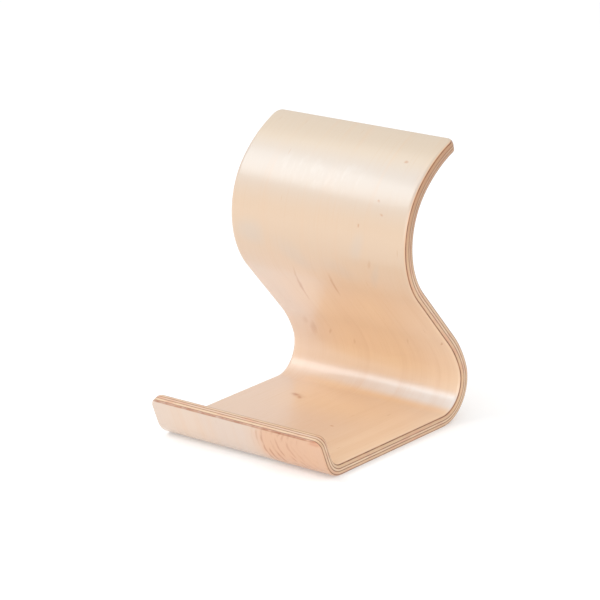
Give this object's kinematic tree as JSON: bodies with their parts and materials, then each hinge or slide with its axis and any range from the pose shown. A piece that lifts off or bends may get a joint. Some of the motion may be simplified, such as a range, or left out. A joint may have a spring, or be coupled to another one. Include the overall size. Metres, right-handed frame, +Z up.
{
  "type": "phone stand",
  "caption": "Bentwood desk stand for a phone: one S-shaped laminated sheet with a low front lip, a flat base and a rolled crest to lean on.",
  "frame": {"origin": "centre of the footprint's bounding rectangle, on the surface that the flat base rests on", "axes": "+X across the width, +Y from the lip towards the back bend, +Z up; the phone faces -Y"},
  "size_m": [0.0864, 0.0974, 0.117],
  "materials": {
    "phone_side_face": "pale birch face veneer under satin clear lacquer, grain along the bends",
    "front_cross_ply": "lacquered cut edge of a birch ply, darker than the faces",
    "centre_ply": "lacquered cut edge of a birch ply, pale line in the middle of the edge",
    "rear_cross_ply": "lacquered cut edge of a birch ply, darker than the faces",
    "underside_face": "pale birch face veneer under satin clear lacquer, grain along the bends"
  },
  "bodies": {
    "root": {"phone_side_face_veneer": "phone_side_face", "front_cross_veneer": "front_cross_ply", "centre_veneer": "centre_ply", "rear_cross_veneer": "rear_cross_ply", "underside_face_veneer": "underside_face"}
  },
  "joints": []
}
